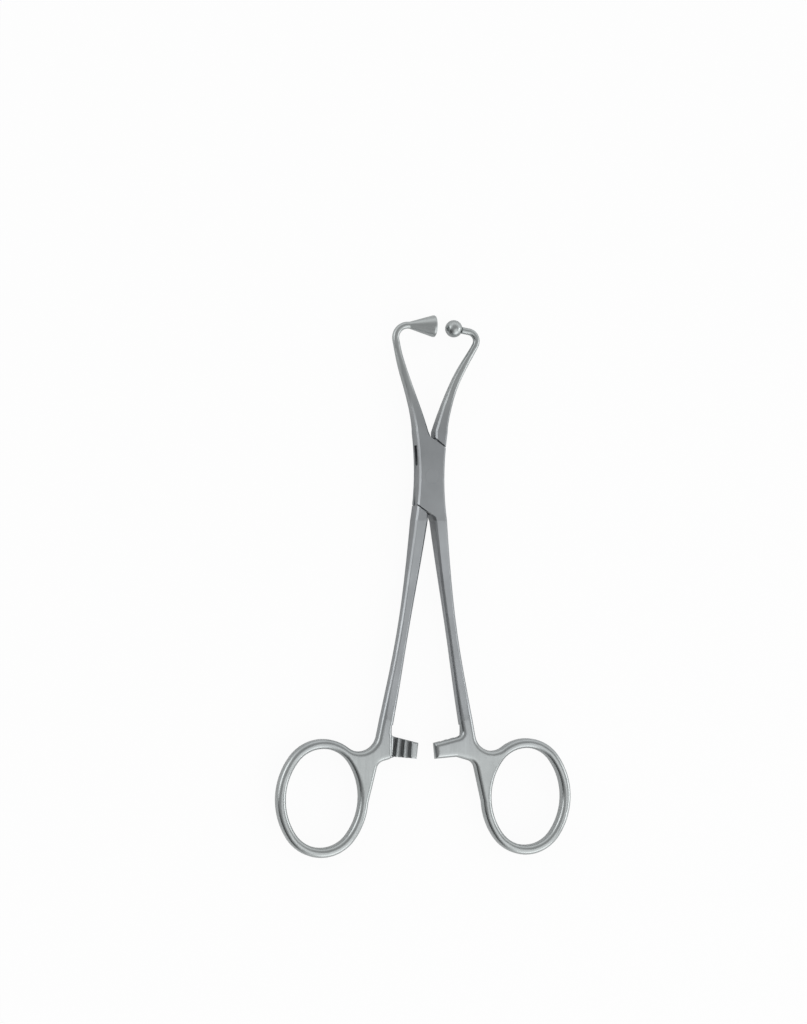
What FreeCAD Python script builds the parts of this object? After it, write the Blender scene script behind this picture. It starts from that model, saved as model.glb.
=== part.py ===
import FreeCAD, Part
import math
import os

import Sketcher

# Non-perforating towel clamp, slightly open, lying on its back.
# X runs to the right and Y towards the jaws as the clamp is seen from above, Z is up.
# The origin is on the pivot axis, in the plane of the box lock's back face.
# Two forged halves cross in the box lock: the tongue of one passes through the slot of the other.
# Each half is drawn about the clamp's middle plane and then raised by half the box thickness.

Vector = FreeCAD.Vector
Rotation = FreeCAD.Rotation
Placement = FreeCAD.Placement

# Distances in millimetres under which two places count as one.
SAME = 1e-6
TOUCH = 1e-3
NEAR = 0.3

SIZES = [
    # Box lock
    ("box_thickness", 5.8, "front face to back face"),
    ("box_waist", 6.8, "width at the pivot"),
    ("box_flare", 8.6, "width where jaws and shanks leave the block"),
    ("box_reach", 11.6, "pivot to where jaws and shanks leave the block"),
    ("box_bevel", 0.5, "leg of the bevel along the sides"),
    ("taper_start", -1.0, "pivot to where the block starts to thin towards the jaws"),
    ("jaw_root_thickness", 4.9, "thickness where the jaws leave the block"),
    ("notch_depth", 9.95, "pivot to the bottom of the notch between the jaws"),
    ("notch_offset", 0.25, "bottom of the notch to the clamp's middle"),
    ("notch_width", 1.9, "gap between the jaws where they leave the block"),
    ("seam_corner", 7.35, "height of the seam at the side of the box"),
    ("seam_gap", 0.08, "what stays open in the seams when the clamp is shut"),
    ("slot_width", 2.4, "slot between the cheeks"),
    ("slot_reach", 10.0, "pivot to the peak of the slot"),
    ("slot_corner", 7.95, "height of the slot's end at the side of the box"),
    ("tongue_play", 0.05, "play on each face of the tongue"),
    ("tongue_side", 3.36, "half width of the tongue beside the pivot"),
    ("tongue_rise", 2.6, "how far the tongue's edge stays level with the block's side past the pivot"),
    # Pivot pin
    ("pin_radius", 1.5, "shank of the pin"),
    ("pin_head_radius", 1.9, "flush end of the pin"),
    ("pin_head_depth", 0.6, "depth of the flared end"),
    ("pin_play", 0.03, "play between the pin and the tongue"),
    ("pin_fit", 0.02, "gap between the pin and the cheeks"),
    # Shank
    ("shank_top_x", 2.62, "centre of the shank where it leaves the block"),
    ("shank_foot_x", 10.65, "centre of the shank where it meets the web"),
    ("shank_foot_y", 63.0, "pivot down to the foot of the shank"),
    ("shank_foot_tilt", 11.042, "lean of the shank at its foot"),
    ("root_inset", 0.01, "how far the roots of jaws and shanks stay inside the block's outline"),
    ("shank_waist_width", 2.47, "width at the waist"),
    ("shank_foot_width", 3.5, "width at the foot"),
    ("shank_waist_thickness", 3.2, "thickness at the waist"),
    ("shank_bevel", 0.5, "leg of the bevels"),
    # Web, ring and ratchet arm
    ("web_thickness", 3.6, "web, ring and both ratchet arms together"),
    ("rim_roundness", 0.92, "share of half the wall by which the ring's rims are rounded"),
    ("ring_x", 27.6, "centre of the finger ring"),
    ("ring_y", 83.1, "pivot down to the centre of the finger ring"),
    ("ring_width", 19.4, "opening across"),
    ("ring_length", 25.4, "opening along"),
    ("ring_end_radius", 8.3, "end arcs of the opening"),
    ("ring_wall", 2.5, "width of the ring's section"),
    ("ring_tilt", 1.4, "lean of the ring towards the middle"),
    ("crotch_radius", 4.8, "fillet between shank and ring"),
    ("web_corner_x", 12.98, "corner under the arm"),
    ("web_corner_y", 73.95, "corner under the arm"),
    ("web_corner_radius", 2.5, "fillet under the arm"),
    ("web_merge_sink", 0.35, "how far inside the ring the web's edge ends"),
    ("web_merge_drop", 2.5, "how far below the ring's centre it ends"),
    ("arm_tip_x", 1.95, "half the gap between the tips of the arms"),
    ("arm_tip_y", 69.0, "upper corner of the tip"),
    ("arm_tip_height", 4.1, "height of the tip"),
    ("arm_tip_rake", 0.45, "slope of the end face"),
    ("arm_root_x", 8.1, "where the arm's lower edge turns into the web"),
    ("arm_root_y", 72.6, "where the arm's lower edge turns into the web"),
    ("arm_top_y", 66.8, "where the arm's upper edge meets the shank"),
    ("arm_top_radius", 1.3, "fillet between arm and shank"),
    ("arm_step_x", 9.5, "where the arm is cut down to half thickness"),
    ("arm_step_radius", 0.8, "rounding of the step"),
    ("arm_gap", 0.1, "gap between the arms when they pass"),
    # Ratchet teeth
    ("tooth_pitch", 2.0, "from tooth to tooth"),
    ("tooth_depth", 0.85, "depth of the notches"),
    ("notch_length", 1.68, "length of a notch along the arm"),
    ("tooth_count", 3, "notches on each arm"),
    ("tooth_first", 3.7, "from the clamp's middle to the first notch"),
    # Jaws: the root in the block, then four stations up to the rod
    ("jaw_low_rise", 1.9, "first station above the end of the block"),
    ("jaw_low_x", 3.05, "centre there"),
    ("jaw_low_width", 2.85, "width there"),
    ("jaw_low_thickness", 4.55, "thickness there"),
    ("jaw_mid_y", 18.5, "station a third of the way"),
    ("jaw_mid_x", 4.45, "centre there"),
    ("jaw_mid_width", 2.3, "width there"),
    ("jaw_mid_thickness", 3.5, "thickness there"),
    ("jaw_high_y", 24.5, "station two thirds of the way"),
    ("cone_high_x", 6.5, "centre there, jaw of the cone"),
    ("ball_high_x", 6.7, "centre there, jaw of the ball"),
    ("jaw_high_width", 1.98, "width there"),
    ("jaw_high_thickness", 2.8, "thickness there"),
    ("jaw_bevel", 0.45, "leg of the bevels"),
    ("jaw_top_y", 29.5, "station below the bends"),
    ("cone_top_x", 8.13, "centre there, jaw of the cone"),
    ("ball_top_x", 9.3, "centre there, jaw of the ball"),
    ("jaw_top_width", 1.95, "width there"),
    ("jaw_top_thickness", 2.15, "thickness there"),
    ("jaw_top_radius", 0.85, "corner rounding there"),
    ("rod_roundness", 0.95, "share of a rod's radius that its corners are rounded by"),
    ("cone_rod_radius", 0.9, "rod behind the cone"),
    ("cone_rod_x", 9.15, "rod below the cone's bend"),
    ("cone_rod_y", 33.6, "start of the bend"),
    ("cone_rod_tilt", 12.4, "lean of the rod below the bend"),
    ("cone_bend_radius", 3.3, "bend of the rod behind the cone"),
    ("cone_start_x", 6.0, "where the cone leaves the rod"),
    ("neck_radius", 0.87, "rod behind the ball"),
    ("neck_tilt", 8.5, "slope of the neck"),
    ("ball_rod_x", 11.7, "rod below the ball's bend"),
    ("ball_rod_y", 33.6, "start of the bend"),
    ("ball_rod_tilt", 27.5, "lean of the rod below the bend"),
    ("ball_bend_radius", 2.4, "bend of the rod behind the ball"),
    # Gripping tips
    ("shut_angle", 6.3, "from the modelled pose to shut"),
    ("seat_x", 1.93, "centre of the ball when shut"),
    ("seat_y", 38.93, "centre of the ball when shut"),
    ("ball_radius", 2.25, "ball"),
    ("ball_play", 0.1, "gap between ball and cup when shut"),
    ("cone_mouth_x", 1.02, "mouth of the cone"),
    ("cone_mouth_radius", 2.8, "rim of the cone"),
    ("cone_rim_length", 0.6, "length of the straight rim"),
    ("cone_lip_radius", 0.25, "rounding of the rim"),
]

doc = FreeCAD.newDocument("towel_clamp")
sheet = doc.addObject("Spreadsheet::Sheet", "Sizes")
for row, (alias, value, note) in enumerate(SIZES, start=1):
    sheet.set("A%d" % row, alias)
    sheet.set("B%d" % row, str(value))
    sheet.set("C%d" % row, note)
    sheet.setAlias("B%d" % row, alias)

DERIVED = [
    ("side_dip", "(Sizes.box_flare - Sizes.box_waist) / 2", "hollow of the block's sides"),
    ("side_radius", "(Sizes.box_reach ^ 2 + side_dip ^ 2) / (2 * side_dip)", "radius of the sides"),
    ("seam_side", "Sizes.box_waist / 2 + Sizes.seam_corner ^ 2 / (2 * side_radius)",
     "half width at the end of the seam"),
    ("seam_slope", "atan((Sizes.notch_depth - Sizes.seam_corner) / (seam_side + Sizes.notch_offset))",
     "slope of the seam"),
    ("shoulder_lean", "seam_slope + Sizes.shut_angle * 1 deg", "slope of the other half's shoulder"),
    ("shoulder_reach",
     "Sizes.seam_corner * cos(seam_slope) + seam_side * sin(seam_slope) + Sizes.seam_gap",
     "pivot to the shoulder"),
    ("shoulder_y", "(shoulder_reach - seam_side * sin(shoulder_lean)) / cos(shoulder_lean)",
     "height of the shoulder at the side"),
    ("shoulder_side", "Sizes.box_waist / 2 + shoulder_y ^ 2 / (2 * side_radius)",
     "half width at the shoulder"),
    ("shoulder_top", "(shoulder_reach - Sizes.notch_width / 2 * sin(shoulder_lean)) / cos(shoulder_lean)",
     "height of the shoulder at the notch"),
    ("rest_x", "Sizes.seat_x * cos(Sizes.shut_angle) + Sizes.seat_y * sin(Sizes.shut_angle)",
     "centre of the ball in the modelled pose"),
    ("rest_y", "Sizes.seat_y * cos(Sizes.shut_angle) - Sizes.seat_x * sin(Sizes.shut_angle)",
     "centre of the ball in the modelled pose"),
    ("taper_radius", "(Sizes.box_reach - Sizes.taper_start) ^ 2"
     " / (Sizes.box_thickness - Sizes.jaw_root_thickness)", "radius of the thinning"),
    ("taper_drop", "(Sizes.box_reach + 1 - Sizes.taper_start) ^ 2 / (2 * taper_radius)",
     "what the thinning takes off a little beyond the block"),
    ("ring_flank", "Sizes.ring_x - Sizes.ring_width / 2 - Sizes.ring_wall", "nearest point of the ring"),
    ("oval_flank", "((Sizes.ring_width / 2) ^ 2 + (Sizes.ring_length / 2 - Sizes.ring_end_radius) ^ 2"
     " - Sizes.ring_end_radius ^ 2) / (Sizes.ring_width - 2 * Sizes.ring_end_radius)",
     "flank arcs of the ring's opening"),
    ("oval_turn", "atan((Sizes.ring_length / 2 - Sizes.ring_end_radius)"
     " / (oval_flank - Sizes.ring_width / 2))", "direction in which the arcs meet"),
    ("oval_x", "Sizes.ring_end_radius * cos(oval_turn)", "where the arcs meet, across"),
    ("oval_y", "Sizes.ring_length / 2 - Sizes.ring_end_radius * (1 - sin(oval_turn))",
     "where the arcs meet, along"),
    ("branch_width", "(Sizes.box_flare - Sizes.notch_width) / 2",
     "width of each side of the block's end"),
    ("branch_x", "(Sizes.box_flare + Sizes.notch_width) / 4", "centre of each side of the block's end"),
    ("shank_bow", "(tan(Sizes.shank_foot_tilt) * (Sizes.shank_foot_y - Sizes.box_reach)"
     " - Sizes.shank_foot_x + Sizes.shank_top_x) / 4", "how far the shank bends towards the middle"),
    ("web_reach", "(ring_flank + Sizes.ring_wall / 2 - Sizes.shank_foot_x"
     " - Sizes.shank_foot_width / 2 * cos(Sizes.shank_foot_tilt)) / sin(Sizes.shank_foot_tilt)",
     "foot to where the web's outer edge ends in the ring"),
    ("rim_radius", "Sizes.ring_wall / 2 * Sizes.rim_roundness", "rounding of the ring and the web"),
]
derived = doc.addObject("Spreadsheet::Sheet", "Derived")
for row, (alias, formula, note) in enumerate(DERIVED, start=1):
    derived.set("A%d" % row, alias)
    derived.setAlias("B%d" % row, alias)
    derived.set("B%d" % row, "=" + formula)
    derived.set("C%d" % row, note)
doc.recompute()


def size(expression):
    """Number that an expression in the sheet's aliases stands for."""
    return float(sheet.evalExpression(expression))


def origin_plane(body, role):
    return [plane for plane in body.Origin.OriginFeatures if plane.Role == role][0]


def add_sketch(body, name, role, offset=(), turn=None):
    """Sketch on one of the body's own planes, moved and turned about its upright axis."""
    sketch = body.newObject("Sketcher::SketchObject", name)
    sketch.AttachmentSupport = (origin_plane(body, role), [""])
    sketch.MapMode = "FlatFace"
    if turn is not None:
        sketch.AttachmentOffset = Placement(Vector(), Rotation(Vector(0, 1, 0), 1))
        sketch.setExpression("AttachmentOffset.Rotation.Angle", turn)
    for axis, expression in zip("xyz", offset):
        sketch.setExpression("AttachmentOffset.Base." + axis, expression)
    return sketch


def bind(sketch, constraint, expression):
    index = sketch.addConstraint(constraint)
    sketch.setExpression("Constraints[%d]" % index, expression)


def place_point(sketch, geometry, point, x, y):
    """Ties a point to the sketch's origin by two expressions."""
    bind(sketch, Sketcher.Constraint("DistanceX", -1, 1, geometry, point, size(x)), x)
    bind(sketch, Sketcher.Constraint("DistanceY", -1, 1, geometry, point, size(y)), y)


def arc_between(start, end, radius):
    """Arc of a signed radius: positive bulges to the left of the way from start to end."""
    chord = end - start
    half = chord.Length / 2
    left = Vector(-chord.y, chord.x, 0).normalize()
    rise = math.sqrt(radius * radius - half * half)
    side = math.copysign(1, radius)
    centre = (start + end) / 2 - left * side * rise
    middle = centre + left * abs(radius) * side
    return Part.Arc(start, middle, end)


def draw_outline(sketch, corners, arcs=None):
    """Closed outline through corners given as expressions; arcs maps an edge to its radius."""
    arcs = arcs or {}
    points = [Vector(size(x), size(y), 0) for x, y in corners]
    count = len(points)
    first = sketch.GeometryCount
    ends = []
    for index, start in enumerate(points):
        end = points[(index + 1) % count]
        if index not in arcs:
            sketch.addGeometry(Part.LineSegment(start, end))
            ends.append((1, 2))
            continue
        number = sketch.addGeometry(arc_between(start, end, size(arcs[index])))
        forward = sketch.getPoint(number, 1).distanceToPoint(start) < SAME
        ends.append((1, 2) if forward else (2, 1))
    for index in range(count):
        after = (index + 1) % count
        sketch.addConstraint(Sketcher.Constraint(
            "Coincident", first + index, ends[index][1], first + after, ends[after][0]))
        place_point(sketch, first + index, ends[index][0], *corners[index])
    for index, radius in arcs.items():
        expression = "abs(%s)" % radius
        bind(sketch, Sketcher.Constraint("Radius", first + index, size(expression)), expression)


def draw_section(sketch, width, thickness, corner, rounded):
    """Cross-section of a shank or jaw: a rectangle with bevelled or rounded corners."""
    half_w = size(width) / 2
    half_t = size(thickness) / 2
    cut = size(corner)
    quarters = [(1, 1), (-1, 1), (-1, -1), (1, -1)]
    inner = "((%s) / 2 - (%s))"
    far = "((%s) / 2)"
    corners = []
    for sx, sy in quarters:
        wide = ("%d * " % sx + far % width, "%d * " % sy + inner % (thickness, corner))
        tall = ("%d * " % sx + inner % (width, corner), "%d * " % sy + far % thickness)
        corners += [wide, tall] if sx * sy > 0 else [tall, wide]
    if not rounded:
        draw_outline(sketch, corners)
        return
    for number, (sx, sy) in enumerate(quarters):
        centre = Vector(sx * (half_w - cut), sy * (half_t - cut), 0)
        circle = Part.Circle(centre, Vector(0, 0, 1), cut)
        start = number * math.pi / 2
        sketch.addGeometry(Part.ArcOfCircle(circle, start, start + math.pi / 2))
    for number in range(4):
        here = sketch.getPoint(number, 2)
        there = sketch.getPoint((number + 1) % 4, 1)
        sketch.addGeometry(Part.LineSegment(here, there))
    for number, (sx, sy) in enumerate(quarters):
        line = 4 + number
        sketch.addConstraint(Sketcher.Constraint("Tangent", number, 2, line, 1))
        sketch.addConstraint(Sketcher.Constraint("Tangent", line, 2, (number + 1) % 4, 1))
        place_point(sketch, number, 3, "%d * " % sx + inner % (width, corner),
                    "%d * " % sy + inner % (thickness, corner))
        bind(sketch, Sketcher.Constraint("Radius", number, cut), corner)


def draw_circle(sketch, x, y, radius):
    number = sketch.addGeometry(Part.Circle(Vector(size(x), size(y), 0), Vector(0, 0, 1), size(radius)))
    place_point(sketch, number, 3, x, y)
    bind(sketch, Sketcher.Constraint("Radius", number, size(radius)), radius)


def checked(feature, before, grows):
    """Recomputes and makes sure that a feature added or removed material."""
    doc.recompute()
    after = feature.Shape.Volume
    if not (after > before if grows else after < before):
        raise RuntimeError("%s changed nothing: %.3f to %.3f" % (feature.Label, before, after))
    return feature


def volume(body):
    return body.Shape.Volume if body.Tip and not body.Shape.isNull() else 0.0


def add_pad(body, sketch, length):
    """Pad as thick on one side of its sketch as on the other."""
    before = volume(body)
    pad = body.newObject("PartDesign::Pad", sketch.Name + "_pad")
    pad.Profile = sketch
    pad.SideType = "Symmetric"
    pad.setExpression("Length", length)
    return checked(pad, before, True)


def add_pocket(body, sketch, length, middle=True, backwards=False):
    before = volume(body)
    pocket = body.newObject("PartDesign::Pocket", sketch.Name + "_pocket")
    pocket.Profile = sketch
    pocket.SideType = "Symmetric" if middle else "One side"
    pocket.Reversed = backwards
    pocket.setExpression("Length", length)
    return checked(pocket, before, False)


def add_loft(body, sections, name):
    before = volume(body)
    loft = body.newObject("PartDesign::AdditiveLoft", name)
    loft.Profile = sections[0]
    loft.Sections = sections[1:]
    loft.Ruled = False
    return checked(loft, before, True)


def add_fillet(body, edges, radius, name):
    base = body.Tip
    before = volume(body)
    fillet = body.newObject("PartDesign::Fillet", name)
    fillet.Base = (base, edges)
    fillet.setExpression("Radius", radius)
    doc.recompute()
    if abs(fillet.Shape.Volume - before) < SAME:
        raise RuntimeError(name + " rounded nothing")
    return fillet


def edges_where(body, test):
    """Names of the body's edges that pass a test of their ends and middle."""
    names = []
    for number, edge in enumerate(body.Tip.Shape.Edges, start=1):
        first, last = edge.ParameterRange
        points = [edge.valueAt(first), edge.valueAt((first + last) / 2), edge.valueAt(last)]
        if test(points):
            names.append("Edge%d" % number)
    return names


def upright_edges_near(body, x, y):
    """Edges along the thickness whose foot lies near a place in plan."""
    def test(points):
        flat = [Vector(p.x, p.y, 0) for p in points]
        same = flat[0].distanceToPoint(flat[2]) < SAME
        return same and flat[0].distanceToPoint(Vector(x, y, 0)) < NEAR
    return edges_where(body, test)


def add_body(name):
    body = doc.addObject("PartDesign::Body", name)
    body.Label = name
    body.setExpression("Placement.Base.z", "Sizes.box_thickness / 2")
    return body


# Where the shank stands along its length, as a share u of the way from the block to its foot.
def shank_x(u):
    return ("(Sizes.shank_top_x + (Sizes.shank_foot_x - Sizes.shank_top_x) * %s"
            " - 4 * Derived.shank_bow * %s * (1 - %s))" % (u, u, u))


def shank_y(u):
    return "(Sizes.box_reach + (Sizes.shank_foot_y - Sizes.box_reach) * %s)" % u


def shank_angle(u):
    """Lean of the shank's centre line, in degrees from the clamp's axis."""
    return ("atan((Sizes.shank_foot_x - Sizes.shank_top_x - 4 * Derived.shank_bow * (1 - 2 * %s))"
            " / (Sizes.shank_foot_y - Sizes.box_reach))" % u)


def foot_point(along, across):
    """Point given along and across the shank, from the middle of its foot."""
    angle = "Sizes.shank_foot_tilt"
    x = "(Sizes.shank_foot_x + (%s) * sin(%s) + (%s) * cos(%s))" % (along, angle, across, angle)
    y = "(Sizes.shank_foot_y + (%s) * cos(%s) - (%s) * sin(%s))" % (along, angle, across, angle)
    return x, y


def sided(side, corners):
    """Corners given to the right and down, as sketch expressions for one side."""
    return [("%d * %s" % (side, x), "-1 * %s" % y) for x, y in corners]


def add_ring_end(body, side):
    """Finger ring, web and ratchet arm, rounded all over up to the foot of the shank."""
    ring = add_sketch(body, "ring_outside", "XY_Plane")
    draw_oval(ring, side, "Sizes.ring_wall")
    add_pad(body, ring, "Sizes.web_thickness")

    web = add_sketch(body, "web", "XY_Plane")
    half = "Sizes.shank_foot_width / 2"
    corners = [
        foot_point("0", half),
        foot_point("Derived.web_reach", half),
        ("(Derived.ring_flank + Sizes.web_merge_sink)", "(Sizes.ring_y + Sizes.web_merge_drop)"),
        ("Sizes.web_corner_x", "Sizes.web_corner_y"),
        ("Sizes.arm_root_x", "Sizes.arm_root_y"),
        ("(Sizes.arm_tip_x + Sizes.arm_tip_rake)", "(Sizes.arm_tip_y + Sizes.arm_tip_height)"),
        ("Sizes.arm_tip_x", "Sizes.arm_tip_y"),
        foot_point("Sizes.arm_top_y - Sizes.shank_foot_y", "-" + half),
        foot_point("0", "-" + half),
    ]
    draw_outline(web, sided(side, corners))
    add_pad(body, web, "Sizes.web_thickness")

    arm_top = corners[7]
    add_fillet(body, upright_edges_near(body, side * size(arm_top[0]), -size(arm_top[1])),
               "Sizes.arm_top_radius", "arm_top_fillet")
    add_fillet(body, upright_edges_near(body, side * size("Sizes.web_corner_x"),
                                        -size("Sizes.web_corner_y")),
               "Sizes.web_corner_radius", "web_corner_fillet")
    foot = Vector(side * size("Sizes.shank_foot_x"), -size("Sizes.shank_foot_y"), 0)
    lean = math.radians(size("Sizes.shank_foot_tilt"))
    down = Vector(side * math.sin(lean), -math.cos(lean), 0)
    outwards = Vector(side * math.cos(lean), math.sin(lean), 0)

    def in_crotch(points):
        ways = [Vector(p.x, p.y, 0) - foot for p in points]
        return all(w.dot(down) > 1 and abs(w.dot(outwards) - size(half)) < TOUCH for w in ways)
    add_fillet(body, edges_where(body, in_crotch), "Sizes.crotch_radius", "crotch_fillet")

    opening = add_sketch(body, "ring_opening", "XY_Plane")
    draw_oval(opening, side, "0")
    add_pocket(body, opening, "2 * Sizes.web_thickness")

    half_t = size("Sizes.web_thickness") / 2

    def on_rim(points):
        flat = all(abs(abs(p.z) - half_t) < TOUCH for p in points)
        at_foot = all(abs((p - foot).dot(down)) < TOUCH for p in points)
        return flat and not at_foot
    add_fillet(body, edges_where(body, on_rim), "Derived.rim_radius", "rim_fillet")


def draw_oval(sketch, side, outwards):
    """Oval of four arcs round a ring, some way outwards of its opening, leaning to the middle."""
    across = "(Derived.oval_x + %s * cos(Derived.oval_turn))" % outwards
    along = "(Derived.oval_y + %s * sin(Derived.oval_turn))" % outwards
    corners = []
    for right, up in ((1, 1), (1, -1), (-1, -1), (-1, 1)):
        x = "(Sizes.ring_x + %d * %s * cos(Sizes.ring_tilt) - %d * %s * sin(Sizes.ring_tilt))" % (
            right, across, up, along)
        y = "(Sizes.ring_y - %d * %s * sin(Sizes.ring_tilt) - %d * %s * cos(Sizes.ring_tilt))" % (
            right, across, up, along)
        corners.append((x, y))
    flank = "%d * (Derived.oval_flank + %s)" % (side, outwards)
    end = "%d * (Sizes.ring_end_radius + %s)" % (side, outwards)
    draw_outline(sketch, sided(side, corners), {0: flank, 1: end, 2: flank, 3: end})


def add_arm(body, side):
    """Cuts the arm to half thickness and notches the face that meets the other arm."""
    # The arm on the right is the front half, the arm on the left the back half.
    front = side > 0
    relief = add_sketch(body, "arm_relief", "XY_Plane", ("0", "0", "%d * Sizes.arm_gap / 2" % side))
    top = "(Sizes.arm_top_y - Sizes.arm_top_radius - Derived.rim_radius)"
    bottom = "(Sizes.web_corner_y + Sizes.web_corner_radius)"
    draw_outline(relief, sided(side, [
        ("Sizes.arm_step_x", top), ("Sizes.arm_step_x", bottom), ("0", bottom), ("0", top)]))
    add_pocket(body, relief, "Sizes.web_thickness", middle=False, backwards=not front)
    step = size("Sizes.arm_step_x")
    half_t = size("Sizes.web_thickness") / 2

    def on_step(points):
        return all(abs(abs(p.x) - step) < TOUCH and abs(p.z + side * half_t) < TOUCH for p in points)
    add_fillet(body, edges_where(body, on_step), "Sizes.arm_step_radius", "arm_step_fillet")

    reach = "(Sizes.arm_tip_y - Sizes.arm_top_radius - Derived.rim_radius)"
    lean = "asin(Sizes.tooth_first / Sizes.arm_tip_y)"
    notch = add_sketch(body, "ratchet_notch", "XZ_Plane",
                       ("%d * %s * sin(%s)" % (side, reach, lean), "0", "%s * cos(%s)" % (reach, lean)),
                       "%d * %s" % (side, lean))
    deep = "%d * (Sizes.arm_gap / 2 + Sizes.tooth_depth)" % side
    draw_outline(notch, [("0", "0"), ("%d * Sizes.notch_length" % side, "0"), ("0", deep)])
    cut = add_pocket(body, notch, "2 * Sizes.arm_tip_height", middle=False, backwards=True)
    before = volume(body)
    row = body.newObject("PartDesign::PolarPattern", "ratchet_row")
    row.Originals = [cut]
    row.Axis = (origin_plane(body, "Z_Axis"), [""])
    row.Mode = "Spacing"
    row.Reversed = side < 0
    row.setExpression("Offset", "2 * asin(Sizes.tooth_pitch"
                                " / (2 * (Sizes.arm_tip_y + Sizes.arm_tip_height / 2)))")
    row.setExpression("Occurrences", "Sizes.tooth_count")
    body.Tip = row
    checked(row, before, False)


def add_section(body, name, side, x, y, lean, width, thickness, corner, rounded=False):
    """Cross-section at a place in plan, x to its side and y towards the jaws."""
    section = add_sketch(body, name, "XZ_Plane", ("%d * %s" % (side, x), "0", "-1 * %s" % y), lean)
    draw_section(section, width, thickness, corner, rounded)
    return section


def add_root(body, name, side, towards, thickness):
    """Cross-section on the block's end, a hair smaller than its outline."""
    return add_section(body, name, side, "Derived.branch_x",
                       "(%d * Sizes.box_reach)" % towards, "0",
                       "(Derived.branch_width - 2 * Sizes.root_inset)",
                       "(%s - 2 * Sizes.root_inset)" % thickness, "Sizes.box_bevel")


def add_shank(body, side):
    """Shank from the block down to its foot on the web, thinning to a waist."""
    bevel = "Sizes.shank_bevel"
    stations = [
        ("0.13", "(Derived.branch_width * 0.7 + Sizes.shank_waist_width * 0.3)",
         "(Sizes.box_thickness * 0.65 + Sizes.shank_waist_thickness * 0.35)", bevel, False),
        ("0.3", "(Derived.branch_width * 0.38 + Sizes.shank_waist_width * 0.62)",
         "(Sizes.box_thickness * 0.22 + Sizes.shank_waist_thickness * 0.78)", bevel, False),
        ("0.58", "Sizes.shank_waist_width", "Sizes.shank_waist_thickness", bevel, False),
        ("0.86", "(Sizes.shank_waist_width * 0.5 + Sizes.shank_foot_width * 0.5)",
         "(Sizes.shank_waist_thickness * 0.8 + Sizes.web_thickness * 0.2)", bevel, False),
        ("1", "Sizes.shank_foot_width", "Sizes.web_thickness", "Derived.rim_radius", True),
    ]
    sections = [add_root(body, "shank_root", side, -1, "Sizes.box_thickness")]
    for number, (u, width, thickness, corner, rounded) in enumerate(stations, start=1):
        sections.append(add_section(body, "shank_section_%d" % number, side, shank_x(u),
                                    "(-1 * %s)" % shank_y(u), "%d * %s" % (side, shank_angle(u)),
                                    width, thickness, corner, rounded))
    add_loft(body, sections, "shank")


def turned(corners):
    """The same corners turned half round the pivot."""
    return [("-1 * " + x, "-1 * " + y) for x, y in corners]


def add_box_block(body):
    """Block of the box half: its jaw leaves to the upper left, its shank to the lower right."""
    block = add_sketch(body, "box_block", "XY_Plane")
    upper = [
        ("Derived.seam_side", "Sizes.seam_corner"),
        ("(-1 * Sizes.notch_offset)", "Sizes.notch_depth"),
        ("(-1 * Sizes.notch_width / 2)", "Sizes.box_reach"),
        ("(-1 * Sizes.box_flare / 2)", "Sizes.box_reach"),
    ]
    draw_outline(block, upper + turned(upper), {3: "Derived.side_radius", 7: "Derived.side_radius"})
    add_pad(body, block, "Sizes.box_thickness")


def add_tongue_block(body):
    """Shoulders of the tongue half, upper right and lower left, and the tongue between them."""
    blocks = add_sketch(body, "tongue_blocks", "XY_Plane")
    upper = [
        ("Derived.shoulder_side", "Derived.shoulder_y"),
        ("(Sizes.box_flare / 2)", "Sizes.box_reach"),
        ("(Sizes.notch_width / 2)", "Sizes.box_reach"),
        ("(Sizes.notch_width / 2)", "Derived.shoulder_top"),
    ]
    draw_outline(blocks, upper, {0: "Derived.side_radius"})
    draw_outline(blocks, turned(upper), {0: "Derived.side_radius"})
    add_pad(body, blocks, "Sizes.box_thickness")

    thickness = "(Sizes.slot_width - 2 * Sizes.tongue_play)"
    tongue = add_sketch(body, "tongue", "XY_Plane")
    inner = ("(Sizes.notch_width / 2 + Sizes.box_bevel / 2)", "(Sizes.notch_depth - Sizes.box_bevel / 2)")
    outer = ("(Derived.seam_side - Sizes.box_bevel / 2)", "(Sizes.seam_corner + 1.5 * Sizes.box_bevel)")
    half = [inner, outer, ("Sizes.tongue_side", "(-1 * Sizes.tongue_rise)")]
    draw_outline(tongue, half + turned(half))
    add_pad(body, tongue, thickness)


def taper_block(body):
    """Thins the block towards the jaws, front and back alike."""
    taper = add_sketch(body, "block_taper", "YZ_Plane")
    rise = "(Sizes.box_thickness / 2)"
    fall = "(%s - Derived.taper_drop)" % rise
    for sign in (1, -1):
        draw_outline(taper, [("Sizes.taper_start", "%d * %s" % (sign, rise)),
                             ("(Sizes.box_reach + 1)", "%d * %s" % (sign, rise)),
                             ("(Sizes.box_reach + 1)", "%d * %s" % (sign, fall))],
                     {2: "%d * Derived.taper_radius" % -sign})
    add_pocket(body, taper, "2 * Sizes.box_flare")


def bevel_block(body):
    """Bevels the block's long edges, front and back."""
    names = edges_where(body, block_edge_test())
    base = body.Tip
    before = volume(body)
    bevel = body.newObject("PartDesign::Chamfer", "block_bevel")
    bevel.Base = (base, names)
    bevel.setExpression("Size", "Sizes.box_bevel")
    checked(bevel, before, False)


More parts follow.
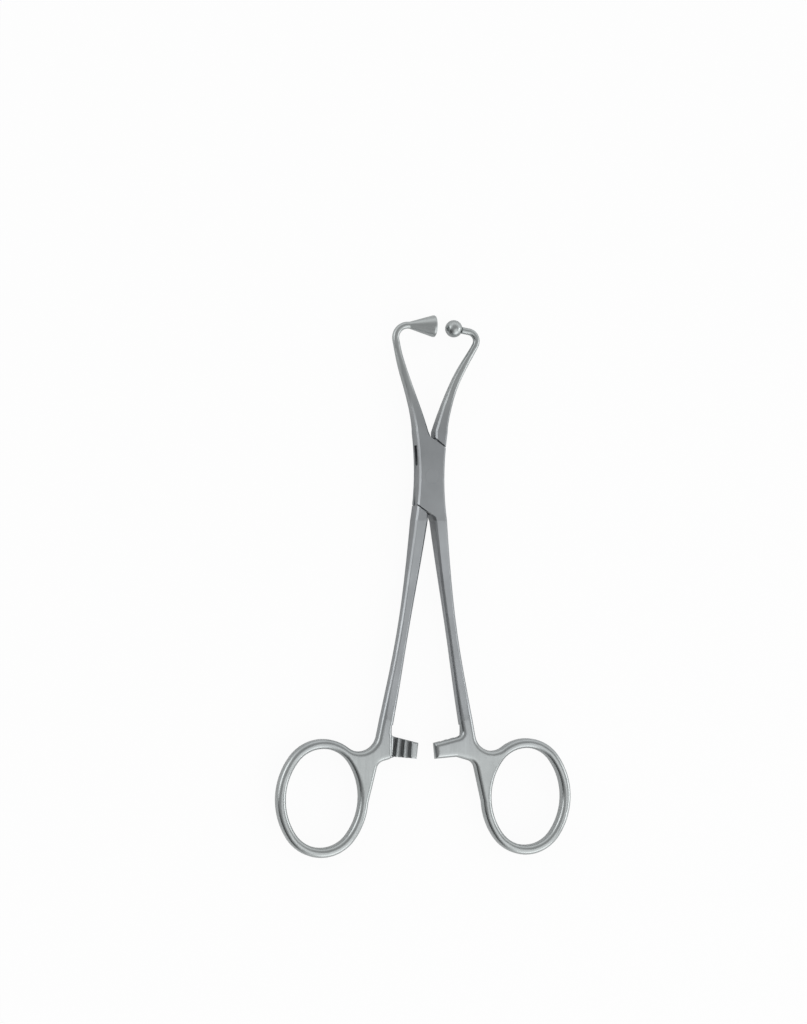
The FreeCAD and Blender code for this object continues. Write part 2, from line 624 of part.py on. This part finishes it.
def block_edge_test():
    """Test for the long edges of the block: along its waisted sides and beside the notches."""
    radius = size("Derived.side_radius")
    centre = size("Sizes.box_waist") / 2 + radius
    reach = size("Sizes.box_reach")
    wall = size("Sizes.notch_width") / 2
    slot = size("Sizes.slot_width") / 2

    def test(points):
        outside = all(abs(p.z) > slot + TOUCH for p in points)
        along = abs(points[0].y - points[2].y) > NEAR
        on_side = all(abs(math.hypot(centre - abs(p.x), p.y) - radius) < TOUCH for p in points)
        ends = [points[0], points[2]]
        in_notch = (any(abs(abs(p.x) - wall) < TOUCH and abs(abs(p.y) - reach) < TOUCH for p in ends)
                    and all(abs(p.x) < wall + TOUCH for p in points))
        return outside and along and (on_side or in_notch)
    return test


def add_jaw(body, side, kind):
    """Tapering jaw from its root in the block to the rod below the bend."""
    rod = "Sizes.neck_radius" if kind == "ball" else "Sizes.cone_rod_radius"
    places = [
        ("Derived.branch_x", "Sizes.box_reach"),
        ("Sizes.jaw_low_x", "(Sizes.box_reach + Sizes.jaw_low_rise)"),
        ("Sizes.jaw_mid_x", "Sizes.jaw_mid_y"),
        ("Sizes.%s_high_x" % kind, "Sizes.jaw_high_y"),
        ("Sizes.%s_top_x" % kind, "Sizes.jaw_top_y"),
        ("Sizes.%s_rod_x" % kind, "Sizes.%s_rod_y" % kind),
    ]
    forms = [
        ("Sizes.jaw_low_width", "Sizes.jaw_low_thickness", "Sizes.jaw_bevel", False),
        ("Sizes.jaw_mid_width", "Sizes.jaw_mid_thickness", "Sizes.jaw_bevel", False),
        ("Sizes.jaw_high_width", "Sizes.jaw_high_thickness",
         "(Sizes.jaw_bevel + Sizes.jaw_top_radius) / 2", True),
        ("Sizes.jaw_top_width", "Sizes.jaw_top_thickness", "Sizes.jaw_top_radius", True),
        ("2 * " + rod, "2 * " + rod, rod + " * Sizes.rod_roundness", True),
    ]
    sections = [add_root(body, "jaw_root", side, 1, "Sizes.jaw_root_thickness")]
    for number, form in enumerate(forms, start=1):
        x, y = places[number]
        if form is forms[-1]:
            lean = "Sizes.%s_rod_tilt" % kind
        else:
            below = places[number - 1]
            above = places[number + 1]
            lean = "atan((%s - %s) / (%s - %s))" % (above[0], below[0], above[1], below[1])
        sections.append(add_section(body, "jaw_section_%d" % number, side, x, y,
                                    "%d * %s" % (-side, lean), *form))
    add_loft(body, sections, "jaw")


def add_bend(body, side, kind, end_x, end_y, slope, rod):
    """Rod from the top of the jaw round its bend to a place on the gripping tip."""
    path = add_sketch(body, kind + "_bend_path", "XY_Plane")
    start = Vector(side * size("Sizes.%s_rod_x" % kind), size("Sizes.%s_rod_y" % kind), 0)
    lean = math.radians(90 - side * size("Sizes.%s_rod_tilt" % kind))
    up = Vector(math.cos(lean), math.sin(lean), 0)
    end = Vector(size(end_x), size(end_y), 0)
    back = math.radians(size(slope))
    away = Vector(side * math.cos(back), -math.sin(back), 0)
    gap = end - start
    cross = up.x * away.y - up.y * away.x
    rise = (gap.x * away.y - gap.y * away.x) / cross
    corner = start + up * rise
    radius = size("Sizes.%s_bend_radius" % kind)
    into = away * -1
    turn = up.getAngle(into)
    setback = radius * math.tan(turn / 2)
    first = corner - up * setback
    last = corner + into * setback
    middle_way = (into - up).normalize()
    centre = corner + middle_way * (radius / math.cos(turn / 2))
    middle = centre - middle_way * radius
    path.addGeometry(Part.LineSegment(start, first))
    path.addGeometry(Part.Arc(first, middle, last))
    path.addGeometry(Part.LineSegment(last, end))
    near, far = (1, 2) if path.getPoint(1, 1).distanceToPoint(first) < SAME else (2, 1)
    path.addConstraint(Sketcher.Constraint("Tangent", 0, 2, 1, near))
    path.addConstraint(Sketcher.Constraint("Tangent", 1, far, 2, 1))
    place_point(path, 0, 1, "%d * Sizes.%s_rod_x" % (side, kind), "Sizes.%s_rod_y" % kind)
    place_point(path, 2, 2, end_x, end_y)
    bind(path, Sketcher.Constraint("Radius", 1, radius), "Sizes.%s_bend_radius" % kind)
    bind(path, Sketcher.Constraint("Angle", -1, 1, 0, 1, lean),
         "90 - %d * Sizes.%s_rod_tilt" % (side, kind))
    heading = math.atan2(into.y, into.x)
    flat = round(math.degrees(heading) + side * size(slope))
    bind(path, Sketcher.Constraint("Angle", -1, 1, 2, 1, heading), "%d - %d * %s" % (flat, side, slope))

    profile = add_section(body, kind + "_rod_section", side, "Sizes.%s_rod_x" % kind,
                          "Sizes.%s_rod_y" % kind, "%d * Sizes.%s_rod_tilt" % (-side, kind),
                          "2 * " + rod, "2 * " + rod, rod + " * Sizes.rod_roundness", True)
    before = volume(body)
    bend = body.newObject("PartDesign::AdditivePipe", kind + "_bend")
    bend.Profile = profile
    bend.Spine = path
    checked(bend, before, True)


def add_cone(body):
    """Flared cone on its rod, with the cup that takes the ball."""
    add_bend(body, -1, "cone", "(-1 * Sizes.cone_start_x + Sizes.cone_rim_length)", "Sizes.seat_y", "0",
             "Sizes.cone_rod_radius")
    outline = add_sketch(body, "cone_outline", "XY_Plane", ("0", "Sizes.seat_y", "0"))
    cup = "(Sizes.ball_radius + Sizes.ball_play)"
    into = "(Sizes.seat_x - Sizes.cone_mouth_x)"
    edge = "sqrt(%s * %s - %s * %s)" % (cup, cup, into, into)
    small = "(Sizes.cone_rod_radius * Sizes.rod_roundness)"
    draw_outline(outline, [
        ("(-1 * Sizes.cone_start_x)", "0"),
        ("(-1 * Sizes.cone_start_x)", small),
        ("(Sizes.cone_mouth_x - Sizes.cone_rim_length)", "Sizes.cone_mouth_radius"),
        ("Sizes.cone_mouth_x", "Sizes.cone_mouth_radius"),
        ("Sizes.cone_mouth_x", edge),
        ("(Sizes.seat_x - %s)" % cup, "0"),
    ], {4: "-1 * " + cup})
    before = volume(body)
    cone = body.newObject("PartDesign::Revolution", "cone")
    cone.Profile = outline
    cone.ReferenceAxis = (outline, ["H_Axis"])
    cone.Angle = 360
    checked(cone, before, True)
    mouth = size("Sizes.cone_mouth_x")
    axis = Vector(mouth, size("Sizes.seat_y"), 0)
    rim = size("Sizes.cone_mouth_radius")

    def on_lip(points):
        return all(abs(p.x - mouth) < TOUCH and abs((p - axis).Length - rim) < TOUCH for p in points)
    add_fillet(body, edges_where(body, on_lip), "Sizes.cone_lip_radius", "cone_lip")


def add_ball(body):
    """Ball on its neck."""
    add_bend(body, 1, "ball", "Derived.rest_x", "Derived.rest_y", "Sizes.neck_tilt", "Sizes.neck_radius")
    before = volume(body)
    ball = body.newObject("PartDesign::AdditiveSphere", "ball")
    ball.AttachmentSupport = (origin_plane(body, "XY_Plane"), [""])
    ball.MapMode = "FlatFace"
    ball.setExpression("AttachmentOffset.Base.x", "Derived.rest_x")
    ball.setExpression("AttachmentOffset.Base.y", "Derived.rest_y")
    ball.setExpression("Radius", "Sizes.ball_radius")
    checked(ball, before, True)


def pin_outline(body, name, clearance):
    """Half outline of the pin's shank and flared ends, with a clearance all round."""
    outline = add_sketch(body, name, "XZ_Plane")
    end = "(Sizes.box_thickness / 2)"
    neck = "(Sizes.box_thickness / 2 - Sizes.pin_head_depth)"
    shank = "(Sizes.pin_radius + %s)" % clearance
    head = "(Sizes.pin_head_radius + %s)" % clearance
    draw_outline(outline, [
        ("0", "-1 * " + end), (head, "-1 * " + end), (shank, "-1 * " + neck),
        (shank, neck), (head, end), ("0", end)])
    return outline


def make_box_half():
    body = add_body("box_half")
    add_ring_end(body, 1)
    add_arm(body, 1)
    add_box_block(body)
    taper_block(body)
    bevel_block(body)
    slot = add_sketch(body, "slot", "XY_Plane")
    slope = "((Sizes.slot_reach - Sizes.slot_corner) / Derived.seam_side)"
    beyond = "(Sizes.box_flare / 2)"
    drop = "(Sizes.slot_reach - %s * %s)" % (slope, beyond)
    upper = [(beyond, drop), ("0", "Sizes.slot_reach"), ("-1 * " + beyond, drop)]
    draw_outline(slot, upper + turned(upper))
    add_pocket(body, slot, "Sizes.slot_width")
    bore = pin_outline(body, "pin_bore", "Sizes.pin_fit")
    before = volume(body)
    groove = body.newObject("PartDesign::Groove", "pin_bore_groove")
    groove.Profile = bore
    groove.ReferenceAxis = (bore, ["V_Axis"])
    groove.Angle = 360
    checked(groove, before, False)
    add_shank(body, 1)
    add_jaw(body, -1, "cone")
    add_cone(body)
    return body


def make_tongue_half():
    body = add_body("tongue_half")
    add_ring_end(body, -1)
    add_arm(body, -1)
    add_tongue_block(body)
    taper_block(body)
    bevel_block(body)
    bore = add_sketch(body, "tongue_bore", "XY_Plane")
    draw_circle(bore, "0", "0", "(Sizes.pin_radius + Sizes.pin_play)")
    add_pocket(body, bore, "Sizes.slot_width")
    add_shank(body, -1)
    add_jaw(body, 1, "ball")
    add_ball(body)
    return body


def make_pivot_pin():
    body = add_body("pivot_pin")
    outline = pin_outline(body, "pin_outline", "0")
    pin = body.newObject("PartDesign::Revolution", "pin")
    pin.Profile = outline
    pin.ReferenceAxis = (outline, ["V_Axis"])
    pin.Angle = 360
    checked(pin, 0, True)
    return body


def main():
    bodies = [make_box_half(), make_tongue_half(), make_pivot_pin()]
    doc.recompute()
    for item in doc.Objects:
        if "Invalid" in item.State or "Error" in item.State:
            raise RuntimeError("%s failed: %s" % (item.Label, item.State))
    for body in bodies:
        if body.Shape.isNull() or not body.Shape.isValid() or len(body.Shape.Solids) != 1:
            raise RuntimeError("%s is not one valid solid" % body.Label)
    os.makedirs("parts", exist_ok=True)
    for body in bodies:
        body.Shape.exportStep("parts/%s.step" % body.Label)
        print(body.Label, round(body.Shape.Volume, 2), body.Shape.BoundBox)


main()
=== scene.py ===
import math

import bpy
from mathutils import Matrix, Vector


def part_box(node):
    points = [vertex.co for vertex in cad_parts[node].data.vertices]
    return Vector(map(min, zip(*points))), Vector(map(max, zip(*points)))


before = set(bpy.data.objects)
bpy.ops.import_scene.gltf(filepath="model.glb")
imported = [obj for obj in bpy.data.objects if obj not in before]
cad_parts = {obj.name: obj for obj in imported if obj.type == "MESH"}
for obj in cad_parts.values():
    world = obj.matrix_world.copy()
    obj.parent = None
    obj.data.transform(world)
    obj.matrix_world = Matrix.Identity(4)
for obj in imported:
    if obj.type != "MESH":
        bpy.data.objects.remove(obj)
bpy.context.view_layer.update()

MIDDLE_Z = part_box("box_half")[1].z / 2

# Steel: blasted at the box lock, polished (smoother) towards the jaws' ends and the finger rings,
# where its grey is also painted lighter as a painted sheen.
STEEL_GREY = (0.345, 0.362, 0.375)
# Lighter grey painted on as sheen at the jaws' ends and the finger rings, over the spans below.
PAINTED_SHEEN_GREY = (0.415, 0.438, 0.438)
JAW_SHEEN_SPAN = (0.010, 0.026)
RING_SHEEN_SPAN = (-0.060, -0.074)
BLASTED_ROUGHNESS = 0.37
POLISHED_ROUGHNESS = 0.24
POLISH_REACH = (0.015, 0.06)
CLOUD_TONE = 0.06
STREAK_STRETCH = (2200, 90, 2200)
STREAK_ROUGHNESS = 0.03
STREAK_BUMP = 0.06
GRAIN_BUMP = 0.03
BUMP_DEPTH = 0.00002

# Noises: scale, detail and roughness, and the part of its range that a noise mostly fills.
CLOUDS = (160.0, 3.0, 0.55)
STREAKS = (1.0, 3.0, 0.6)
GRAIN = (3500.0, 2.0, 0.6)
NOISE_SPREAD = (0.3, 0.7)

# Edges: how far the light sees them rounded, and where the pin's flush end begins.
EDGE_RADIUS = 0.00012
RING_EDGE_RADIUS = 0.0007
EDGE_SAMPLES = 8
PIN_REACH = 0.0025

# Notches of the ratchet arms, which are left unpolished: rougher, and painted darker with depth as
# painted shade.
NOTCH_SHADE_TONE = 0.55
NOTCH_ROUGHNESS = 0.35
NOTCH_MIDDLE = 0.006
NOTCH_HALF_SPAN = 0.0028
NOTCH_TOP_Y = -0.064
NOTCH_DEPTH = (0.00006, 0.00016)
NOTCH_TILT = 0.3

# Surroundings: radiances, and directions with the angles at which their shade starts and ends.
FLOOR_SIZE = 6
FLOOR_DROP = 0.0002
FLOOR_GREY = 0.86
FLOOR_GLOW_CAMERA = 0.94
FLOOR_GLOW_MIRRORED = 0.2
WALL_LEVEL = 1.1
CEILING_LEVEL = 0.5
CEILING_DIRECTION = (0, 0, 1)
CEILING_ANGLES = (66, 30)
SCREEN_DIRECTION = (-0.8, -0.58, 0.12)
SCREEN_ANGLES = (58, 20)
SCREEN_DEPTH = 0.9
BACKDROP_LEVEL = 0.98

# Lamps: name, place, width, height and how bright the lamp looks in a mirror.
LAMPS = (
    ("overhead", (0.3, -0.5, 0.9), 0.8, 0.92, 0.8),
    ("left", (-0.85, 0.2, 0.3), 0.65, 0.4, 1.35),
    ("front", (0.45, -0.8, 0.4), 0.7, 0.35, 1.2),
    ("right", (0.9, -0.1, 0.35), 0.6, 0.4, 1.5),
)

# Camera: the photo's lean to the left, its turn in the frame, and the lens in millimetres.
CAMERA_LEAN = math.radians(17)
CAMERA_ROLL = math.radians(0.74)
CAMERA_DISTANCE = 0.725
CAMERA_TARGET = (-0.0018, -0.0284, MIDDLE_Z)
CAMERA_SENSOR = 36
CAMERA_LENS = 98.5
CAMERA_SHIFT = (-0.0171, 0.0723)
CAMERA_NEAREST = 0.01


def add_node(tree, kind, links=None, **values):
    """Shader node with its properties set; links maps an input to what feeds or fills it."""
    node = tree.nodes.new(kind)
    for name, value in values.items():
        setattr(node, name, value)
    for name, source in (links or {}).items():
        socket = node.inputs[name]
        if isinstance(source, bpy.types.NodeSocket):
            tree.links.new(source, socket)
        else:
            socket.default_value = source
    return node


def calculate(tree, operation, *terms):
    """Result of a sum on numbers."""
    node = add_node(tree, "ShaderNodeMath", dict(enumerate(terms)), operation=operation)
    return node.outputs[0]


def calculate_vector(tree, operation, *terms, result="Vector"):
    """Result of a sum on vectors."""
    node = add_node(tree, "ShaderNodeVectorMath", dict(enumerate(terms)), operation=operation)
    return node.outputs[result]


def split_vector(tree, vector):
    return add_node(tree, "ShaderNodeSeparateXYZ", {"Vector": vector}).outputs


def follow(tree, value, span, low=0.0, high=1.0):
    """Number that goes from low to high while the value crosses the span."""
    node = add_node(tree, "ShaderNodeMapRange",
                    {"Value": value, "From Min": span[0], "From Max": span[1],
                     "To Min": low, "To Max": high})
    return node.outputs["Result"]


def mix_vectors(tree, factor, first, second):
    """First vector where the factor is nought, second where it is one."""
    change = calculate_vector(tree, "SUBTRACT", second, first)
    share = add_node(tree, "ShaderNodeVectorMath", {0: change, "Scale": factor}, operation="SCALE")
    return calculate_vector(tree, "ADD", share.outputs["Vector"], first)


def add_noise(tree, place, scale, detail, roughness):
    node = add_node(tree, "ShaderNodeTexNoise",
                    {"Vector": place, "Scale": scale, "Detail": detail, "Roughness": roughness})
    return node.outputs["Fac"]


def new_material(name):
    material = bpy.data.materials.new(name)
    material.use_nodes = True
    material.node_tree.nodes.clear()
    return material, material.node_tree


def painted_sheen_share(tree, along):
    """One at the ends of the jaws and on the finger rings, which are polished by hand; the grey is
    painted lighter there as a painted sheen.
    """
    jaws = follow(tree, along, JAW_SHEEN_SPAN)
    rings = follow(tree, along, RING_SHEEN_SPAN)
    return calculate(tree, "MAXIMUM", jaws, rings)


def shade_and_roughness_in_notches(tree, place, side):
    """One deep in the notches of a ratchet arm, nought elsewhere: the share of painted shade and
    of extra roughness there.

    Side is -1 for the left arm, cut down from the middle plane, and 1 for the right, cut up.
    """
    spot = split_vector(tree, place)
    tilt = split_vector(tree, add_node(tree, "ShaderNodeTexCoord").outputs["Normal"])
    levels = [MIDDLE_Z + side * depth for depth in NOTCH_DEPTH]
    share = follow(tree, spot["Z"], levels)
    limits = (calculate(tree, "COMPARE", spot["X"], side * NOTCH_MIDDLE, NOTCH_HALF_SPAN),
              calculate(tree, "LESS_THAN", spot["Y"], NOTCH_TOP_Y),
              calculate(tree, "GREATER_THAN", calculate(tree, "ABSOLUTE", tilt["X"]), NOTCH_TILT))
    for limit in limits:
        share = calculate(tree, "MULTIPLY", share, limit)
    return share


def steel_colour(tree, place, along, notch_shade_and_roughness):
    """Grey that is painted lighter at the jaws' ends and the finger rings as a painted sheen, a
    little cloudy, and painted darker in the notches as painted shade.
    """
    clouds = add_noise(tree, place, *CLOUDS)
    tone = follow(tree, clouds, NOISE_SPREAD, 1 - CLOUD_TONE, 1 + CLOUD_TONE)
    # Painted shade: darker grey in the notches, darker the deeper they go.
    notch_shade = follow(tree, notch_shade_and_roughness, (0, 1), 1.0, NOTCH_SHADE_TONE)
    # Painted sheen: lighter grey at the jaws' ends and the finger rings.
    base = mix_vectors(tree, painted_sheen_share(tree, along), STEEL_GREY, PAINTED_SHEEN_GREY)
    return calculate_vector(tree, "MULTIPLY", base, calculate(tree, "MULTIPLY", tone, notch_shade))


def steel_roughness(tree, streaks, polish, notch_shade_and_roughness):
    """Roughness that falls with the polish, varies with the streaks and is high in the notches."""
    base = follow(tree, polish, (0, 1), BLASTED_ROUGHNESS, POLISHED_ROUGHNESS)
    uneven = follow(tree, streaks, NOISE_SPREAD, -STREAK_ROUGHNESS, STREAK_ROUGHNESS)
    return calculate(tree, "MULTIPLY_ADD", notch_shade_and_roughness, NOTCH_ROUGHNESS,
                     calculate(tree, "ADD", uneven, base))


def worn_edges(tree, place, polish):
    """Normals with rounded edges, except round the pin, which is ground flush with the box."""
    radius = follow(tree, polish, (0, 1), EDGE_RADIUS, RING_EDGE_RADIUS)
    rounded = add_node(tree, "ShaderNodeBevel", {"Radius": radius}, samples=EDGE_SAMPLES)
    flat = calculate_vector(tree, "MULTIPLY", place, (1, 1, 0))
    reach = calculate_vector(tree, "LENGTH", flat, result="Value")
    outside = calculate(tree, "GREATER_THAN", reach, PIN_REACH)
    own = add_node(tree, "ShaderNodeNewGeometry").outputs["Normal"]
    return mix_vectors(tree, outside, own, rounded.outputs["Normal"])


def add_bump(tree, height, strength, normal):
    node = add_node(tree, "ShaderNodeBump",
                    {"Height": height, "Strength": strength, "Distance": BUMP_DEPTH,
                     "Normal": normal})
    return node.outputs["Normal"]


def satin_steel(name, side):
    """Blasted and brushed steel, with streaks along the clamp and softened edges."""
    material, tree = new_material(name)
    place = add_node(tree, "ShaderNodeTexCoord").outputs["Object"]
    along = split_vector(tree, place)["Y"]
    polish = follow(tree, calculate(tree, "ABSOLUTE", along), POLISH_REACH)
    # Share of painted shade, and of extra roughness, in the notches.
    notch_shade_and_roughness = shade_and_roughness_in_notches(tree, place, side)
    drawn = add_node(tree, "ShaderNodeMapping", {"Vector": place, "Scale": STREAK_STRETCH})
    streaks = add_noise(tree, drawn.outputs["Vector"], *STREAKS)
    grain = add_noise(tree, place, *GRAIN)
    normal = worn_edges(tree, place, polish)
    normal = add_bump(tree, grain, GRAIN_BUMP, normal)
    normal = add_bump(tree, streaks, STREAK_BUMP, normal)
    shader = add_node(tree, "ShaderNodeBsdfPrincipled",
                      {"Base Color": steel_colour(tree, place, along, notch_shade_and_roughness),
                       "Metallic": 1.0,
                       "Roughness": steel_roughness(tree, streaks, polish, notch_shade_and_roughness),
                       "Normal": normal})
    add_node(tree, "ShaderNodeOutputMaterial", {"Surface": shader.outputs["BSDF"]})
    return material


def finish_nodes():
    """Materials and smooth shading on the pieces of the clamp."""
    for name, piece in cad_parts.items():
        side = -1 if name == "tongue_half" else 1
        piece.data.materials.clear()
        piece.data.materials.append(satin_steel(name + "_steel", side))
        for face in piece.data.polygons:
            face.use_smooth = True


def pale_floor():
    """Floor that is nearly white to the camera, and keeps a light shadow."""
    material, tree = new_material("pale_floor")
    path = add_node(tree, "ShaderNodeLightPath").outputs
    mirrored = calculate(tree, "MAXIMUM", path["Is Glossy Ray"], path["Is Transmission Ray"])
    mirrored = calculate(tree, "MULTIPLY", mirrored, FLOOR_GLOW_MIRRORED)
    share = calculate(tree, "MULTIPLY_ADD", path["Is Camera Ray"], FLOOR_GLOW_CAMERA, mirrored)
    matt = add_node(tree, "ShaderNodeBsdfDiffuse", {"Color": (FLOOR_GREY,) * 3 + (1,)})
    glow = add_node(tree, "ShaderNodeEmission", {"Color": (1, 1, 1, 1), "Strength": 1.0})
    mix = add_node(tree, "ShaderNodeMixShader",
                   {0: share, 1: matt.outputs["BSDF"], 2: glow.outputs["Emission"]})
    add_node(tree, "ShaderNodeOutputMaterial", {"Surface": mix.outputs["Shader"]})
    return material


def add_floor():
    bpy.ops.mesh.primitive_plane_add(size=FLOOR_SIZE, location=(0, 0, -FLOOR_DROP))
    floor = bpy.context.object
    floor.name = "floor"
    floor.data.materials.append(pale_floor())


def shade_towards(tree, look, direction, angles, depth):
    """Factor that falls from 1 to 1 - depth between two angles from the given direction."""
    near = calculate_vector(tree, "DOT_PRODUCT", look, Vector(direction).normalized(),
                            result="Value")
    clear, full = [math.cos(math.radians(angle)) for angle in angles]
    fade = add_node(tree, "ShaderNodeMapRange",
                    {"Value": near, "From Min": clear, "From Max": full,
                     "To Min": 1.0, "To Max": 1.0 - depth},
                    interpolation_type="SMOOTHSTEP")
    return fade.outputs["Result"]


def set_world():
    """Surroundings that are greyer overhead and dark low on the left, and white to the camera."""
    world = bpy.data.worlds.new("studio")
    bpy.context.scene.world = world
    world.use_nodes = True
    tree = world.node_tree
    tree.nodes.clear()
    look = add_node(tree, "ShaderNodeTexCoord").outputs["Generated"]
    screen = shade_towards(tree, look, SCREEN_DIRECTION, SCREEN_ANGLES, SCREEN_DEPTH)
    ceiling = shade_towards(tree, look, CEILING_DIRECTION, CEILING_ANGLES,
                            1 - CEILING_LEVEL / WALL_LEVEL)
    level = calculate(tree, "MULTIPLY", calculate(tree, "MULTIPLY", screen, ceiling), WALL_LEVEL)
    path = add_node(tree, "ShaderNodeLightPath").outputs
    dim = add_node(tree, "ShaderNodeBackground", {"Color": (1, 1, 1, 1), "Strength": level})
    white = add_node(tree, "ShaderNodeBackground",
                     {"Color": (1, 1, 1, 1), "Strength": BACKDROP_LEVEL})
    mix = add_node(tree, "ShaderNodeMixShader",
                   {0: path["Is Camera Ray"], 1: dim.outputs["Background"],
                    2: white.outputs["Background"]})
    add_node(tree, "ShaderNodeOutputWorld", {"Surface": mix.outputs["Shader"]})


def add_softbox(name, place, width, height, radiance):
    """Rectangular lamp that faces the clamp."""
    lamp = bpy.data.lights.new(name, "AREA")
    lamp.shape = "RECTANGLE"
    lamp.size = width
    lamp.size_y = height
    lamp.energy = radiance * math.pi * width * height
    holder = bpy.data.objects.new(name, lamp)
    holder.location = place
    holder.rotation_mode = "QUATERNION"
    holder.rotation_quaternion = (-Vector(place)).to_track_quat("-Z", "Y")
    bpy.context.scene.collection.objects.link(holder)


def add_camera():
    """Camera of the photo: straight above, leaning to the left, with a long lens."""
    back = Vector((-math.sin(CAMERA_LEAN), 0, math.cos(CAMERA_LEAN)))
    right = Vector((math.cos(CAMERA_LEAN), 0, math.sin(CAMERA_LEAN)))
    along = Vector((0, 1, 0))
    up = along * math.cos(CAMERA_ROLL) - right * math.sin(CAMERA_ROLL)
    side = right * math.cos(CAMERA_ROLL) + along * math.sin(CAMERA_ROLL)
    data = bpy.data.cameras.new("camera")
    data.sensor_width = CAMERA_SENSOR
    data.lens = CAMERA_LENS
    data.shift_x, data.shift_y = CAMERA_SHIFT
    data.clip_start = CAMERA_NEAREST
    camera = bpy.data.objects.new("camera", data)
    turn = Matrix((side, up, back)).transposed()
    place = Vector(CAMERA_TARGET) + back * CAMERA_DISTANCE
    camera.matrix_world = Matrix.Translation(place) @ turn.to_4x4()
    bpy.context.scene.collection.objects.link(camera)
    bpy.context.scene.camera = camera


bpy.context.scene.view_settings.view_transform = "Standard"
finish_nodes()
add_floor()
set_world()
for lamp in LAMPS:
    add_softbox(*lamp)
add_camera()
